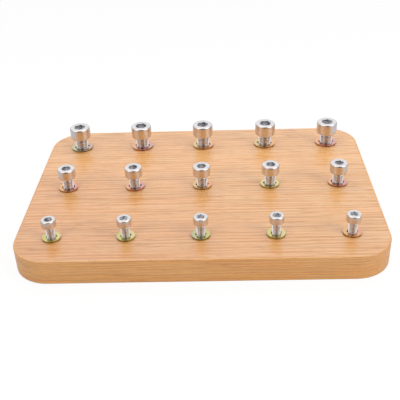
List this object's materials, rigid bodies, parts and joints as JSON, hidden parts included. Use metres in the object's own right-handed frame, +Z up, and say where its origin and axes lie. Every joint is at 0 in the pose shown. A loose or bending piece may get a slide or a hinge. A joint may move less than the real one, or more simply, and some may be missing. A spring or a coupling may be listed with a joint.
{
  "type": "wooden screw board",
  "caption": "Flat wooden board with rounded corners, holding rows of socket cap screws in three sizes that turn in and out of flanged threaded inserts.",
  "frame": {"origin": "centre of the board's underside, on the surface that it rests on", "axes": "+X along the rows of screws, +Y from the row of small screws to the row of large screws, +Z up"},
  "size_m": [0.25, 0.184, 0.0368],
  "materials": {
    "core": "raw chipboard",
    "facing": "satin oak veneer",
    "edge_band": "satin oak edge band",
    "insert": "yellow zinc plating",
    "screw": "plain stainless steel"
  },
  "bodies": {
    "board": {"core_board": "core", "top_facing": "facing", "bottom_facing": "facing", "edge_band": "edge_band", "m6_threaded_insert_1": "insert", "m6_threaded_insert_2": "insert", "m6_threaded_insert_3": "insert", "m6_threaded_insert_4": "insert", "m6_threaded_insert_5": "insert", "m8_threaded_insert_1": "insert", "m8_threaded_insert_2": "insert", "m8_threaded_insert_3": "insert", "m8_threaded_insert_4": "insert", "m8_threaded_insert_5": "insert", "m10_threaded_insert_1": "insert", "m10_threaded_insert_2": "insert", "m10_threaded_insert_3": "insert", "m10_threaded_insert_4": "insert", "m10_threaded_insert_5": "insert"},
    "m6_screw_1": {"m6_cap_screw_1": "screw"},
    "m6_screw_2": {"m6_cap_screw_2": "screw"},
    "m6_screw_3": {"m6_cap_screw_3": "screw"},
    "m6_screw_4": {"m6_cap_screw_4": "screw"},
    "m6_screw_5": {"m6_cap_screw_5": "screw"},
    "m8_screw_1": {"m8_cap_screw_1": "screw"},
    "m8_screw_2": {"m8_cap_screw_2": "screw"},
    "m8_screw_3": {"m8_cap_screw_3": "screw"},
    "m8_screw_4": {"m8_cap_screw_4": "screw"},
    "m8_screw_5": {"m8_cap_screw_5": "screw"},
    "m10_screw_1": {"m10_cap_screw_1": "screw"},
    "m10_screw_2": {"m10_cap_screw_2": "screw"},
    "m10_screw_3": {"m10_cap_screw_3": "screw"},
    "m10_screw_4": {"m10_cap_screw_4": "screw"},
    "m10_screw_5": {"m10_cap_screw_5": "screw"}
  },
  "joints": [
    {"name": "m6_screw_1_travel", "type": "slide", "parent": "board", "child": "m6_screw_1", "axis": [0, 0, 1], "range_m": [0, 0.012]},
    {"name": "m6_screw_2_travel", "type": "slide", "parent": "board", "child": "m6_screw_2", "axis": [0, 0, 1], "range_m": [0, 0.012]},
    {"name": "m6_screw_3_travel", "type": "slide", "parent": "board", "child": "m6_screw_3", "axis": [0, 0, 1], "range_m": [0, 0.012]},
    {"name": "m6_screw_4_travel", "type": "slide", "parent": "board", "child": "m6_screw_4", "axis": [0, 0, 1], "range_m": [0, 0.012]},
    {"name": "m6_screw_5_travel", "type": "slide", "parent": "board", "child": "m6_screw_5", "axis": [0, 0, 1], "range_m": [0, 0.012]},
    {"name": "m8_screw_1_travel", "type": "slide", "parent": "board", "child": "m8_screw_1", "axis": [0, 0, 1], "range_m": [0, 0.0125]},
    {"name": "m8_screw_2_travel", "type": "slide", "parent": "board", "child": "m8_screw_2", "axis": [0, 0, 1], "range_m": [0, 0.0125]},
    {"name": "m8_screw_3_travel", "type": "slide", "parent": "board", "child": "m8_screw_3", "axis": [0, 0, 1], "range_m": [0, 0.0125]},
    {"name": "m8_screw_4_travel", "type": "slide", "parent": "board", "child": "m8_screw_4", "axis": [0, 0, 1], "range_m": [0, 0.0125]},
    {"name": "m8_screw_5_travel", "type": "slide", "parent": "board", "child": "m8_screw_5", "axis": [0, 0, 1], "range_m": [0, 0.0125]},
    {"name": "m10_screw_1_travel", "type": "slide", "parent": "board", "child": "m10_screw_1", "axis": [0, 0, 1], "range_m": [0, 0.012]},
    {"name": "m10_screw_2_travel", "type": "slide", "parent": "board", "child": "m10_screw_2", "axis": [0, 0, 1], "range_m": [0, 0.012]},
    {"name": "m10_screw_3_travel", "type": "slide", "parent": "board", "child": "m10_screw_3", "axis": [0, 0, 1], "range_m": [0, 0.012]},
    {"name": "m10_screw_4_travel", "type": "slide", "parent": "board", "child": "m10_screw_4", "axis": [0, 0, 1], "range_m": [0, 0.012]},
    {"name": "m10_screw_5_travel", "type": "slide", "parent": "board", "child": "m10_screw_5", "axis": [0, 0, 1], "range_m": [0, 0.012]}
  ]
}
